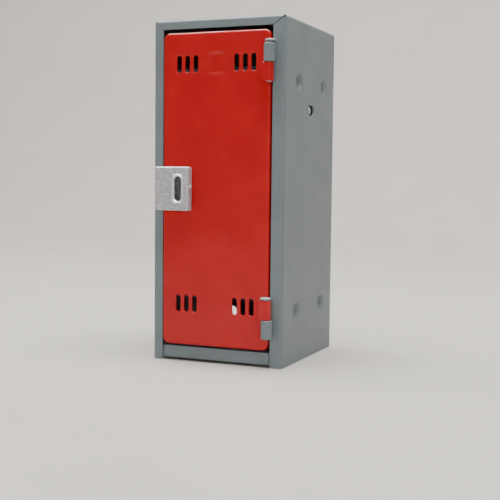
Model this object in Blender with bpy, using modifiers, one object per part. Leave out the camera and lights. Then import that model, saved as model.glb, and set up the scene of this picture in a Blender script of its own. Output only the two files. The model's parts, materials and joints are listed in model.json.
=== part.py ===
"""Miniature single-door steel locker with a hanging rod and two wire coat hangers.

Metres, +Z up. The front faces -Y, the door is hinged on the +X side, and the origin is at the
centre of the bounding box's base. Depths are counted backwards from the cabinet's front plane.
"""

import math

import bmesh
import bpy
from mathutils import Matrix, Vector

MM = 0.001

# Cabinet
WIDTH = 31.0 * MM
DEPTH = 32.5 * MM
HEIGHT = 75.0 * MM
SHEET = 0.4 * MM
BEND = 0.7 * MM  # outer radius of a folded edge
FIT = 0.05 * MM  # gap between two parts that are fastened together
FLANGE_LEFT = 2.3 * MM
FLANGE_RIGHT = 2.85 * MM
FLANGE_TOP = 2.1 * MM
FOOT_LIP = 2.6 * MM
SEAM = 0.12 * MM
RELIEF_RADIUS = 0.26 * MM
RELIEF_INSET = 0.42 * MM

# Floor pan and back panel
FLOOR_TOP = 3.3 * MM
FOOT_CLEAR = 0.5 * MM
KICK_BOTTOM = 0.72 * MM
KICK_SETBACK = 0.1 * MM
KICK_END_GAP = 0.5 * MM
BACK_DEPTH = 1.5 * MM
BACK_HOLE_RADIUS = 1.5 * MM
BACK_HOLE_X = 10.4 * MM
BACK_HOLE_Z = 7.0 * MM

# Pressed dents in the sides, which carry the two shelves
DENT_RADIUS = 2.1 * MM
DENT_FLOOR_RADIUS = 1.1 * MM
DENT_DEPTH = 0.8 * MM
DENT_DEPTHS = (8.6 * MM, 24.9 * MM)
DENT_HEIGHTS = {"hat_shelf": 61.75 * MM, "shoe_shelf": 11.55 * MM}
SHELF_DEPTH = 1.2 * MM
SHELF_FRONT = 5.0 * MM

# Hanging rod and its slotted side holes
ROD_RADIUS = 0.9 * MM
ROD_COLLAR_RADIUS = 1.35 * MM
ROD_COLLAR_LENGTH = 0.5 * MM
ROD_DEPTH = 15.65 * MM
ROD_Z = 55.85 * MM
ROD_HOLE_DEPTH = 16.3 * MM
ROD_HOLE_Z = 55.95 * MM
ROD_HOLE_SIZE = (4.2 * MM, 2.3 * MM)

# Door
DOOR_LEFT_GAP = 0.2 * MM
DOOR_RIGHT_GAP = 0.35 * MM
DOOR_TOP_GAP = 0.8 * MM
DOOR_BOTTOM_GAP = 0.4 * MM
DOOR_PROUD = 0.4 * MM
DOOR_DEPTH = 1.8 * MM
DOOR_CORNER = 1.5 * MM
DOOR_EDGE = 0.8 * MM
SLOT_WIDTH = 1.1 * MM
SLOT_HEIGHT = 3.65 * MM
SLOT_PITCH = 1.98 * MM
SLOTS_PER_GROUP = 3
VENT_OFFSET = 6.8 * MM
VENT_HEIGHTS = (65.3 * MM, 12.95 * MM)
LABEL_SIZE = (5.6 * MM, 5.35 * MM)
LABEL_RECESS = 0.3 * MM
LABEL_SLOPE = (0.9 * MM, 0.9 * MM)

# Hinges
HINGE_X = 12.5 * MM
HINGE_FORWARD = 1.5 * MM
KNUCKLE_RADIUS = 1.25 * MM
DOOR_LOOP_RADIUS = 0.9 * MM
DOOR_LOOP_REACH = 1.1 * MM
PIN_RADIUS = 0.6 * MM
PIN_PLAY = 0.05 * MM
PIN_HEAD_RADIUS = 1.18 * MM
PIN_HEAD_HEIGHT = 0.5 * MM
PIN_TAIL = 0.15 * MM
LEAF = 0.2 * MM
LEAF_OVERLAP = 2.3 * MM
# (bottom, top) of each knuckle and the underside of each pin head
UPPER_HINGE = {"frame": (65.05 * MM, 69.1 * MM), "door": (61.0 * MM, 64.95 * MM), "head": 69.3 * MM}
LOWER_HINGE = {"frame": (6.55 * MM, 10.5 * MM), "door": (10.6 * MM, 14.8 * MM), "head": 15.0 * MM}

# Handle
HANDLE_LEFT = -14.05 * MM
HANDLE_SIZE = (8.3 * MM, 9.6 * MM)
HANDLE_BOTTOM = 33.45 * MM
HANDLE_FRONT = 2.6 * MM
HANDLE_ROUND = 0.35 * MM
GRIP_SLOT = (1.8 * MM, 5.5 * MM, 1.5 * MM)
GRIP_RIM = 0.4 * MM
GRIP_RIM_HEIGHT = 0.12 * MM
GRIP_X = -8.35 * MM
PEG_RADIUS = 0.6 * MM
PEG_PLAY = 0.08 * MM
PEG_X = -10.4 * MM
PEG_SPACING = 5.4 * MM
PEG_REACH = 1.0 * MM
WASHER_RADIUS = 1.3 * MM
WASHER_HEIGHT = 0.3 * MM

# Hangers, in their own plane: u runs front to back and v runs up from the apex of the arms
WIRE_RADIUS = 0.325 * MM
HANGER_X = {"hanger": -4.0 * MM, "spare_hanger": 4.0 * MM}
HANGER_HALF_WIDTH = 12.2 * MM
ARM_SLOPE = math.radians(25)
SHOULDER_RADIUS = 1.6 * MM
APEX_RADIUS = 0.9 * MM
HOOK_RADIUS = 1.875 * MM
HOOK_RISE = 4.2 * MM
HOOK_TIP = math.radians(186)
HOOK_END = math.radians(-28)
STEM_TOP = (0.25 * MM, 1.45 * MM)
COLLAR_RADIUS = 1.15 * MM
COLLAR_BORE = 0.45 * MM
COLLAR_HEIGHT = 0.9 * MM

CURVE_STEPS = 5
ROUND_STEPS = 24

GREY_PAINT = ((0.22, 0.24, 0.235, 1), 0.45, 0.1)
RED_PAINT = ((0.47, 0.02, 0.018, 1), 0.3, 0.0)
CAST_METAL = ((0.38, 0.38, 0.39, 1), 0.5, 0.7)
BARE_STEEL = ((0.45, 0.47, 0.46, 1), 0.35, 0.9)
BLACK_WIRE = ((0.02, 0.02, 0.02, 1), 0.3, 0.6)

# The front plane sits where the knuckles in front and the back panel behind balance about Y = 0.
FRONT = (HINGE_FORWARD + KNUCKLE_RADIUS - DEPTH) / 2
INNER_X = WIDTH / 2 - SHEET
OPENING = (FLANGE_LEFT - WIDTH / 2, WIDTH / 2 - FLANGE_RIGHT)
OPENING_TOP = HEIGHT - FLANGE_TOP
DOOR_LEFT = OPENING[0] + DOOR_LEFT_GAP
DOOR_RIGHT = OPENING[1] - DOOR_RIGHT_GAP
DOOR_BOTTOM = FLOOR_TOP + DOOR_BOTTOM_GAP
DOOR_TOP = OPENING_TOP - DOOR_TOP_GAP
DOOR_X = (DOOR_LEFT + DOOR_RIGHT) / 2
BACK_FRONT = DEPTH - BACK_DEPTH


def clear_scene():
    for obj in list(bpy.data.objects):
        bpy.data.objects.remove(obj, do_unlink=True)


def new_collection(name, hidden):
    collection = bpy.data.collections.new(name)
    bpy.context.scene.collection.children.link(collection)
    collection.hide_render = hidden
    return collection


clear_scene()
PARTS = new_collection("locker", hidden=False)
CUTTERS = new_collection("cutters", hidden=True)


# ---- helpers -------------------------------------------------------------------------------

def paint(obj, finish):
    """Gives a part its own Principled material."""
    colour, roughness, metallic = finish
    material = bpy.data.materials.new(obj.name)
    material.use_nodes = True
    shader = material.node_tree.nodes["Principled BSDF"]
    shader.inputs["Base Color"].default_value = colour
    shader.inputs["Roughness"].default_value = roughness
    shader.inputs["Metallic"].default_value = metallic
    obj.data.materials.append(material)


def part_from(name, mesh_builder, finish):
    """Turns a filled bmesh into a named part."""
    obj = object_from(name, mesh_builder, PARTS)
    paint(obj, finish)
    return obj


def tool_from(name, mesh_builder):
    """Turns a filled bmesh into a hidden cutter or a hidden piece to be joined on."""
    obj = object_from(name, mesh_builder, CUTTERS)
    obj.hide_render = True
    obj.display_type = "WIRE"
    return obj


def object_from(name, bm, collection):
    bmesh.ops.remove_doubles(bm, verts=bm.verts, dist=1e-7)
    bmesh.ops.recalc_face_normals(bm, faces=bm.faces)
    mesh = bpy.data.meshes.new(name)
    bm.to_mesh(mesh)
    bm.free()
    obj = bpy.data.objects.new(name, mesh)
    collection.objects.link(obj)
    return obj


def boolean(obj, tool, operation):
    modifier = obj.modifiers.new(tool.name, "BOOLEAN")
    modifier.operation = operation
    modifier.object = tool


def add_box(bm, low, high, rounded_along=None, radius=0.0):
    """A box between two corners. Its edges along one axis can be rounded."""
    low, high = Vector(low), Vector(high)
    place = Matrix.Translation((low + high) / 2) @ Matrix.Diagonal((*(high - low), 1))
    made = bmesh.ops.create_cube(bm, size=1, matrix=place)["verts"]
    if rounded_along is None:
        return
    edges = {edge for vert in made for edge in vert.link_edges}
    along = [e for e in edges if abs((e.verts[0].co - e.verts[1].co)[rounded_along]) > 1e-7]
    bmesh.ops.bevel(bm, geom=along, offset=radius, segments=CURVE_STEPS, affect="EDGES", profile=0.5)


def add_cone(bm, start, end, radius_start, radius_end, steps=ROUND_STEPS):
    """A capped cylinder or cone between two points."""
    start, end = Vector(start), Vector(end)
    turn = (end - start).to_track_quat("Z", "Y").to_matrix().to_4x4()
    place = Matrix.Translation((start + end) / 2) @ turn
    bmesh.ops.create_cone(
        bm, cap_ends=True, segments=steps, radius1=radius_start, radius2=radius_end,
        depth=(end - start).length, matrix=place,
    )


def box_mesh(low, high, rounded_along=None, radius=0.0):
    bm = bmesh.new()
    add_box(bm, low, high, rounded_along, radius)
    return bm


def arc(centre, radius, start, end, steps=CURVE_STEPS):
    """Points along a circular arc, both ends included. Angles are in radians."""
    angles = [start + (end - start) * i / steps for i in range(steps + 1)]
    return [(centre[0] + radius * math.cos(a), centre[1] + radius * math.sin(a)) for a in angles]


def depth(y):
    """A place behind the front plane, as a world Y."""
    return FRONT + y


def bridge(bm, rings, closed):
    """Faces between each ring of points and the next one."""
    for first, second in zip(rings, rings[1:] + rings[:1] if closed else rings[1:]):
        for i in range(len(first)):
            j = (i + 1) % len(first)
            bm.faces.new((first[i], first[j], second[j], second[i]))


def stamped_pan(width, length, rim_depth, corner, edge, sheet):
    """A sheet pressed into a shallow pan: the face is up at z = 0 and the rim goes down."""
    bm = bmesh.new()
    inner = max(edge - sheet, 0)
    outside = [(0, -rim_depth)] + [(edge - x, z - edge) for x, z in arc((0, 0), edge, 0, math.pi / 2)]
    inside = [(edge - x, z - edge) for x, z in arc((0, 0), inner, math.pi / 2, 0)] + [(sheet, -rim_depth)]

    def ring(inset, z):
        radius = max(corner - inset, 0)
        points = []
        for quarter, (sx, sy) in enumerate(((1, 1), (-1, 1), (-1, -1), (1, -1))):
            centre = (sx * (width / 2 - inset - radius), sy * (length / 2 - inset - radius))
            start = quarter * math.pi / 2
            points += arc(centre, radius, start, start + math.pi / 2)
        return [bm.verts.new((x, y, z)) for x, y in points]

    front = [ring(inset, z) for inset, z in outside]
    rear = [ring(inset, z) for inset, z in inside]
    bridge(bm, front, closed=False)
    bridge(bm, rear, closed=False)
    bridge(bm, [rear[-1], front[0]], closed=False)
    bm.faces.new(front[-1])
    bm.faces.new(rear[0])
    return bm


def turned(name, profile, finish):
    """A turned part about its own Z. The profile runs down the outer side, from top to bottom."""
    bm = bmesh.new()
    verts = [bm.verts.new((r, 0, z)) for r, z in profile]
    for a, b in zip(verts, verts[1:]):
        bm.edges.new((a, b))
    mesh = bpy.data.meshes.new(name)
    bm.to_mesh(mesh)
    bm.free()
    obj = bpy.data.objects.new(name, mesh)
    PARTS.objects.link(obj)
    screw = obj.modifiers.new("turn", "SCREW")
    screw.steps = ROUND_STEPS
    screw.render_steps = ROUND_STEPS
    screw.use_merge_vertices = True
    screw.merge_threshold = 1e-6
    paint(obj, finish)
    return obj


def wire(name, points, cyclic):
    """A bent round wire through points."""
    curve = bpy.data.curves.new(name, "CURVE")
    curve.dimensions = "3D"
    curve.bevel_depth = WIRE_RADIUS
    curve.bevel_resolution = 2
    curve.use_fill_caps = True
    spline = curve.splines.new("POLY")
    spline.points.add(len(points) - 1)
    for point, place in zip(spline.points, points):
        point.co = (*place, 1)
    spline.use_cyclic_u = cyclic
    obj = bpy.data.objects.new(name, curve)
    PARTS.objects.link(obj)
    paint(obj, BLACK_WIRE)
    return obj


def hang_on(parent, *children):
    """Parents parts to an empty on their joint's axis, and leaves them where they are."""
    for child in children:
        child.parent = parent
        child.matrix_parent_inverse = parent.matrix_world.inverted()


def axis_empty(name, place):
    empty = bpy.data.objects.new(name, None)
    PARTS.objects.link(empty)
    empty.location = place
    bpy.context.view_layer.update()
    return empty


# ---- cabinet -------------------------------------------------------------------------------

def wrap_shell():
    """One folded sheet: left side, top and right side, with a front flange bent inwards."""
    flange = max(FLANGE_LEFT, FLANGE_RIGHT, FLANGE_TOP) + SHEET
    outer = [(flange, 0)] + arc((BEND, BEND), BEND, -math.pi / 2, -math.pi) + [(0, DEPTH)]
    inner = [(SHEET, DEPTH)] + arc((BEND, BEND), BEND - SHEET, math.pi, math.pi * 1.5) + [(flange, SHEET)]
    bm = bmesh.new()
    strands = []
    for inset, y in outer + inner:
        radius = max(BEND - inset, 0)
        reach_x = WIDTH / 2 - inset
        reach_z = HEIGHT - inset
        left = arc((radius - reach_x, reach_z - radius), radius, math.pi, math.pi / 2)
        right = arc((reach_x - radius, reach_z - radius), radius, math.pi / 2, 0)
        path = [(-reach_x, 0)] + left + right + [(reach_x, 0)]
        strands.append([bm.verts.new((x, depth(y), z)) for x, z in path])
    for first, second in zip(strands, strands[1:] + strands[:1]):
        for i in range(len(first) - 1):
            bm.faces.new((first[i], first[i + 1], second[i + 1], second[i]))
    bm.faces.new([strand[0] for strand in strands])
    bm.faces.new([strand[-1] for strand in strands])
    bmesh.ops.dissolve_degenerate(bm, dist=1e-7, edges=bm.edges)
    return bm


def foot_lips():
    """The sides' bottom edges, folded inwards to stand on."""
    bm = bmesh.new()
    for side in (-1, 1):
        outer = side * (WIDTH / 2 - SHEET / 2)
        inner = side * (WIDTH / 2 - FOOT_LIP)
        low = (min(outer, inner), depth(SHEET * 1.5), 0)
        high = (max(outer, inner), depth(DEPTH - SHEET / 2), SHEET)
        add_box(bm, low, high)
    return bm


def each_dent():
    for side in (-1, 1):
        for height in DENT_HEIGHTS.values():
            for back in DENT_DEPTHS:
                yield side, depth(back), height


def dent_cone(bm, side, y, z, sink_start, sink_end, grow):
    """Part of a dent's cone, between two depths below the side's outer face."""
    slope = (DENT_FLOOR_RADIUS - DENT_RADIUS) / DENT_DEPTH
    start = (side * (WIDTH / 2 - sink_start), y, z)
    end = (side * (WIDTH / 2 - sink_end), y, z)
    add_cone(bm, start, end, DENT_RADIUS + slope * sink_start + grow, DENT_RADIUS + slope * sink_end + grow)


def dent_bumps():
    """The inner side of the dents, one sheet thickness outside their cones."""
    slant = math.hypot(DENT_DEPTH, DENT_RADIUS - DENT_FLOOR_RADIUS) / DENT_DEPTH
    bm = bmesh.new()
    for side, y, z in each_dent():
        dent_cone(bm, side, y, z, SHEET / 2, DENT_DEPTH + SHEET, SHEET * slant)
    return bm


def dent_hollows():
    bm = bmesh.new()
    for side, y, z in each_dent():
        dent_cone(bm, side, y, z, -SHEET / 4, DENT_DEPTH, 0)
    return bm


def rod_holes():
    bm = bmesh.new()
    for side in (-1, 1):
        squash = Matrix.Diagonal((1, ROD_HOLE_SIZE[0] / 2, ROD_HOLE_SIZE[1] / 2, 1))
        turn = Matrix.Rotation(math.pi / 2, 4, "Y")
        place = Matrix.Translation((side * WIDTH / 2, depth(ROD_HOLE_DEPTH), ROD_HOLE_Z))
        bmesh.ops.create_cone(
            bm, cap_ends=True, segments=ROUND_STEPS, radius1=1, radius2=1, depth=4 * SHEET,
            matrix=place @ squash @ turn,
        )
    return bm


def relief_centre(side):
    return Vector((side * (WIDTH / 2 - RELIEF_INSET), depth(0), HEIGHT - RELIEF_INSET))


def mitre_seams():
    """Open seams between the front flanges, each ending at a small relief in the folded corner."""
    bm = bmesh.new()
    for side, edge in ((-1, OPENING[0]), (1, OPENING[1])):
        relief = relief_centre(side)
        inner = Vector((edge, depth(0), OPENING_TOP))
        along = (relief - inner).normalized()
        start = inner - along * SHEET
        angle = math.atan2(along.x, along.z)
        place = Matrix.Translation((relief + start) / 2 + Vector((0, SHEET / 2, 0)))
        turn = Matrix.Rotation(angle, 4, "Y")
        size = Matrix.Diagonal((SEAM, 2 * SHEET, (relief - start).length, 1))
        bmesh.ops.create_cube(bm, size=1, matrix=place @ turn @ size)
    return bm


def relief_holes():
    bm = bmesh.new()
    for side in (-1, 1):
        centre = relief_centre(side)
        reach = Vector((0, SHEET, 0))
        add_cone(bm, centre - reach, centre + reach * 2, RELIEF_RADIUS, RELIEF_RADIUS, 12)
    return bm


def make_wrap():
    wrap = part_from("cabinet_wrap", wrap_shell(), GREY_PAINT)
    door_way = box_mesh((OPENING[0], depth(-SHEET), -SHEET), (OPENING[1], depth(2 * SHEET), OPENING_TOP))
    boolean(wrap, tool_from("door_way", door_way), "DIFFERENCE")
    boolean(wrap, tool_from("mitre_seams", mitre_seams()), "DIFFERENCE")
    boolean(wrap, tool_from("relief_holes", relief_holes()), "DIFFERENCE")
    boolean(wrap, tool_from("foot_lips", foot_lips()), "UNION")
    boolean(wrap, tool_from("dent_bumps", dent_bumps()), "UNION")
    boolean(wrap, tool_from("dent_hollows", dent_hollows()), "DIFFERENCE")
    boolean(wrap, tool_from("rod_holes", rod_holes()), "DIFFERENCE")


def make_back():
    """A pan set into the wrap's rear edges, with two holes near its foot."""
    top = HEIGHT - SHEET - FIT
    pan = stamped_pan(2 * (INNER_X - FIT), top - FOOT_CLEAR, BACK_DEPTH, BEND, BEND, SHEET)
    back = part_from("back_panel", pan, GREY_PAINT)
    back.rotation_euler = (-math.pi / 2, 0, 0)
    back.location = (0, depth(DEPTH), (top + FOOT_CLEAR) / 2)
    bm = bmesh.new()
    for side in (-1, 1):
        start = Vector((side * BACK_HOLE_X, depth(DEPTH + SHEET), BACK_HOLE_Z))
        add_cone(bm, start, start - Vector((0, 3 * SHEET, 0)), BACK_HOLE_RADIUS, BACK_HOLE_RADIUS)
    boolean(back, tool_from("back_holes", bm), "DIFFERENCE")


def make_floor():
    """A pan with its rim down, and a kick bar that fills the foot of the door opening."""
    start = SHEET + 2 * FIT
    end = BACK_FRONT - 2 * FIT
    pan = stamped_pan(2 * (INNER_X - FIT), end - start, FLOOR_TOP - FOOT_CLEAR, BEND, BEND, SHEET)
    floor = part_from("floor_pan", pan, GREY_PAINT)
    floor.location = (0, depth((start + end) / 2), FLOOR_TOP)
    low = (OPENING[0] + KICK_END_GAP, depth(KICK_SETBACK), KICK_BOTTOM)
    high = (OPENING[1] - KICK_END_GAP / 3, depth(start + SHEET / 2), FLOOR_TOP - FIT)
    boolean(floor, tool_from("kick_bar", box_mesh(low, high, 1, BEND)), "UNION")


def make_shelf(name):
    """A loose shelf: a pan whose rim stands on the four dents below it."""
    start = SHELF_FRONT
    end = BACK_FRONT - 2 * FIT
    slope = (DENT_RADIUS - DENT_FLOOR_RADIUS) / DENT_DEPTH
    slant = math.hypot(1, slope)
    dent_top = DENT_RADIUS - slope * (SHEET + 3 * FIT) + SHEET * slant
    top = DENT_HEIGHTS[name] + dent_top + FIT + SHELF_DEPTH
    pan = stamped_pan(2 * (INNER_X - 3 * FIT), end - start, SHELF_DEPTH, BEND, BEND, SHEET)
    shelf = part_from(name, pan, GREY_PAINT)
    shelf.location = (0, depth((start + end) / 2), top)


def make_rod():
    """A plain rod with a formed collar inside each wall, so that it can't slide out."""
    half = WIDTH / 2 - FIT
    outer = INNER_X - FIT
    inner = outer - ROD_COLLAR_LENGTH
    top_half = [(0, half), (ROD_RADIUS - FIT, half), (ROD_RADIUS, half - FIT), (ROD_RADIUS, outer),
                (ROD_COLLAR_RADIUS, outer), (ROD_COLLAR_RADIUS, inner), (ROD_RADIUS, inner)]
    profile = top_half + [(r, -z) for r, z in reversed(top_half)]
    rod = turned("hanger_rod", profile, BARE_STEEL)
    rod.rotation_euler = (0, math.pi / 2, 0)
    rod.location = (0, depth(ROD_DEPTH), ROD_Z)


# ---- door ----------------------------------------------------------------------------------

def vent_slots():
    """Four groups of upright round-ended slots."""
    bm = bmesh.new()
    middle = (SLOTS_PER_GROUP - 1) / 2
    for height in VENT_HEIGHTS:
        for side in (-1, 1):
            for i in range(SLOTS_PER_GROUP):
                x = DOOR_X + side * VENT_OFFSET + (i - middle) * SLOT_PITCH
                low = (x - SLOT_WIDTH / 2, depth(-2 * DOOR_PROUD), height - SLOT_HEIGHT / 2)
                high = (x + SLOT_WIDTH / 2, depth(2 * SHEET), height + SLOT_HEIGHT / 2)
                add_box(bm, low, high, 1, SLOT_WIDTH * 0.49)
    return bm


def label_block(front, back, slope_start, slope_end):
    """A block that narrows from its front face to its back face, like the label's pressing."""
    bm = bmesh.new()
    for y, share in ((front, slope_start), (back, slope_end)):
        half_x = LABEL_SIZE[0] / 2 - LABEL_SLOPE[0] * share
        half_z = LABEL_SIZE[1] / 2 - LABEL_SLOPE[1] * share
        for sx, sz in ((-1, -1), (1, -1), (1, 1), (-1, 1)):
            bm.verts.new((DOOR_X + sx * half_x, depth(y), VENT_HEIGHTS[0] + sz * half_z))
    bmesh.ops.convex_hull(bm, input=bm.verts)
    return bm


def peg_places():
    middle = HANDLE_BOTTOM + HANDLE_SIZE[1] / 2
    return [(PEG_X, middle + side * PEG_SPACING / 2) for side in (-1, 1)]


def peg_holes():
    bm = bmesh.new()
    radius = PEG_RADIUS + PEG_PLAY
    for x, z in peg_places():
        add_cone(bm, (x, depth(-2 * DOOR_PROUD), z), (x, depth(2 * SHEET), z), radius, radius, 16)
    return bm


def make_door_panel():
    size = (DOOR_RIGHT - DOOR_LEFT, DOOR_TOP - DOOR_BOTTOM)
    pan = stamped_pan(*size, DOOR_DEPTH, DOOR_CORNER, DOOR_EDGE, SHEET)
    door = part_from("door_panel", pan, RED_PAINT)
    door.rotation_euler = (math.pi / 2, 0, 0)
    door.location = (DOOR_X, depth(-DOOR_PROUD), (DOOR_TOP + DOOR_BOTTOM) / 2)
    face = -DOOR_PROUD
    back = face + SHEET
    boss = label_block(back - SHEET / 2, back + LABEL_RECESS, -0.3, 0.7)
    recess = label_block(face - LABEL_RECESS / 2, face + LABEL_RECESS, -0.5, 1)
    boolean(door, tool_from("label_boss", boss), "UNION")
    boolean(door, tool_from("label_recess", recess), "DIFFERENCE")
    boolean(door, tool_from("vent_slots", vent_slots()), "DIFFERENCE")
    boolean(door, tool_from("peg_holes", peg_holes()), "DIFFERENCE")
    return door


def make_handle():
    """A cast pull plate with a blind finger slot and two pegs that pass through the door."""
    left, bottom = HANDLE_LEFT, HANDLE_BOTTOM
    right, top = left + HANDLE_SIZE[0], bottom + HANDLE_SIZE[1]
    rear = -DOOR_PROUD - FIT
    bm = bmesh.new()
    add_box(bm, (left, depth(-HANDLE_FRONT), bottom), (right, depth(rear), top))
    front_edges = [e for e in bm.edges if any(v.co.y < depth(rear) - FIT for v in e.verts)]
    bmesh.ops.bevel(bm, geom=front_edges, offset=HANDLE_ROUND, segments=3, affect="EDGES", profile=0.5)
    handle = part_from("handle", bm, CAST_METAL)
    middle = (bottom + top) / 2
    half = (GRIP_SLOT[0] / 2, GRIP_SLOT[1] / 2)
    outer = (half[0] + GRIP_RIM, half[1] + GRIP_RIM)
    rim = box_mesh(
        (GRIP_X - outer[0], depth(-HANDLE_FRONT - GRIP_RIM_HEIGHT), middle - outer[1]),
        (GRIP_X + outer[0], depth(-HANDLE_FRONT + GRIP_RIM_HEIGHT), middle + outer[1]),
        1, outer[0] * 0.97,
    )
    slot = box_mesh(
        (GRIP_X - half[0], depth(-2 * HANDLE_FRONT), middle - half[1]),
        (GRIP_X + half[0], depth(GRIP_SLOT[2] - HANDLE_FRONT), middle + half[1]),
        1, half[0] * 0.98,
    )
    pegs = bmesh.new()
    for x, z in peg_places():
        add_cone(pegs, (x, depth(rear - SHEET), z), (x, depth(PEG_REACH), z), PEG_RADIUS, PEG_RADIUS, 16)
    boolean(handle, tool_from("grip_rim", rim), "UNION")
    boolean(handle, tool_from("grip_slot", slot), "DIFFERENCE")
    boolean(handle, tool_from("handle_pegs", pegs), "UNION")
    return handle


def make_washer(name, place):
    """A push-on washer that grips a handle peg behind the door."""
    bore = PEG_RADIUS + FIT
    start = SHEET - DOOR_PROUD + FIT
    x, z = place
    bm = bmesh.new()
    add_cone(bm, (x, depth(start), z), (x, depth(start + WASHER_HEIGHT), z), WASHER_RADIUS, WASHER_RADIUS)
    washer = part_from(name, bm, BARE_STEEL)
    hole = bmesh.new()
    add_cone(hole, (x, depth(start - SHEET), z), (x, depth(start + 2 * WASHER_HEIGHT), z), bore, bore, 16)
    boolean(washer, tool_from(name + "_bore", hole), "DIFFERENCE")
    return washer


# ---- hinges --------------------------------------------------------------------------------

def rolled_knuckle(span):
    """A strip rolled into a round knuckle."""
    y = depth(-HINGE_FORWARD)
    bm = bmesh.new()
    add_cone(bm, (HINGE_X, y, span[0]), (HINGE_X, y, span[1]), KNUCKLE_RADIUS, KNUCKLE_RADIUS)
    return bm


def folded_loop(span):
    """A strip folded over the pin, which leaves a flat-fronted loop that reaches over the door."""
    middle = depth(-HINGE_FORWARD)
    side = math.pi / 2
    right = arc((HINGE_X, middle), DOOR_LOOP_RADIUS, -side, side, ROUND_STEPS // 2)
    left = arc((HINGE_X - DOOR_LOOP_REACH, middle), DOOR_LOOP_RADIUS, side, 3 * side, ROUND_STEPS // 2)
    bm = bmesh.new()
    rings = [[bm.verts.new((x, y, z)) for x, y in right + left] for z in span]
    bridge(bm, rings, closed=False)
    for ring in rings:
        bm.faces.new(ring)
    return bm


def make_leaf(name, span, knuckle, boxes, finish):
    """A knuckle around the hinge axis, with the flat strips that fasten it."""
    bottom, top = span
    y = depth(-HINGE_FORWARD)
    leaf = part_from(name, knuckle, finish)
    for i, (x_low, y_low, x_high, y_high) in enumerate(boxes):
        margin = FIT * (i + 1)
        low = (x_low, depth(y_low), bottom + margin)
        high = (x_high, depth(y_high), top - margin)
        boolean(leaf, tool_from(f"{name}_strip_{i}", box_mesh(low, high)), "UNION")
    bore = bmesh.new()
    radius = PIN_RADIUS + PIN_PLAY
    add_cone(bore, (HINGE_X, y, bottom - SHEET), (HINGE_X, y, top + SHEET), radius, radius)
    boolean(leaf, tool_from(name + "_bore", bore), "DIFFERENCE")
    return leaf


def make_frame_leaf(name, span):
    """The strip goes back through the gap beside the door and turns behind the flange."""
    middle = (HINGE_X - LEAF / 2, HINGE_X + LEAF / 2)
    neck_start = PIN_RADIUS + 2 * PIN_PLAY - HINGE_FORWARD
    plate_start = SHEET + FIT
    neck = (middle[0], neck_start, middle[1], plate_start + LEAF)
    plate = (middle[0] + LEAF / 4, plate_start, HINGE_X + LEAF_OVERLAP, plate_start + LEAF * 1.5)
    return make_leaf(name, span, rolled_knuckle(span), (neck, plate), GREY_PAINT)


def make_door_leaf(name, span):
    """The strip lies against the outside of the door's rim."""
    start = DOOR_RIGHT + FIT
    strip = (start, PIN_RADIUS + 2 * PIN_PLAY - HINGE_FORWARD, start + LEAF, DOOR_DEPTH - DOOR_PROUD - FIT)
    return make_leaf(name, span, folded_loop(span), (strip,), RED_PAINT)


def make_pin(name, tail, head):
    top = head + PIN_HEAD_HEIGHT
    chamfer = PIN_HEAD_HEIGHT / 3
    profile = [(0, top), (PIN_HEAD_RADIUS - chamfer, top), (PIN_HEAD_RADIUS, top - chamfer),
               (PIN_HEAD_RADIUS, head), (PIN_RADIUS, head), (PIN_RADIUS, tail), (0, tail)]
    pin = turned(name, profile, GREY_PAINT)
    pin.location = (HINGE_X, depth(-HINGE_FORWARD), 0)
    return pin


def make_hinge(name, hinge):
    """Returns the part that moves with the door."""
    make_frame_leaf(name + "_frame_leaf", hinge["frame"])
    tail = min(hinge["frame"][0], hinge["door"][0]) - PIN_TAIL
    make_pin(name + "_pin", tail, hinge["head"])
    return make_door_leaf(name + "_door_leaf", hinge["door"])


def make_door():
    """Everything that swings about the hinge line."""
    pieces = [make_door_panel(), make_handle()]
    for end, place in zip(("lower", "upper"), peg_places()):
        pieces.append(make_washer(f"{end}_handle_washer", place))
    pieces.append(make_hinge("upper_hinge", UPPER_HINGE))
    pieces.append(make_hinge("lower_hinge", LOWER_HINGE))
    hang_on(axis_empty("hinge_axis", (HINGE_X, depth(-HINGE_FORWARD), 0)), *pieces)


# ---- hangers -------------------------------------------------------------------------------

def hanger_outline():
    """The closed loop of a hanger: sloping arms, round shoulders and a level bar."""
    centre_u = HANGER_HALF_WIDTH - WIRE_RADIUS - SHOULDER_RADIUS
    tangent_u = centre_u + SHOULDER_RADIUS * math.sin(ARM_SLOPE)
    centre_v = -math.tan(ARM_SLOPE) * tangent_u - SHOULDER_RADIUS * math.cos(ARM_SLOPE)
    upright = math.pi / 2
    shoulder = arc((centre_u, centre_v), SHOULDER_RADIUS, upright - ARM_SLOPE, -upright, 8)
    apex_v = -APEX_RADIUS / math.cos(ARM_SLOPE)
    apex = arc((0, apex_v), APEX_RADIUS, upright, upright - ARM_SLOPE, 2)
    half = apex[1:] + shoulder
    return [apex[0]] + half + [(-u, v) for u, v in reversed(half)]


def hook_line():
    """The hook: from its open tip over the rod, then a straight shank down to the collar."""
    bow = arc((0, HOOK_RISE), HOOK_RADIUS, HOOK_TIP, HOOK_END, 16)
    foot_u, foot_v = STEM_TOP
    bottom = WIRE_RADIUS + FIT
    lean = [(foot_u, foot_v), (foot_u / 4, foot_v - SHEET), (0, foot_v - 1.5 * SHEET), (0, bottom)]
    return bow + lean


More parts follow.
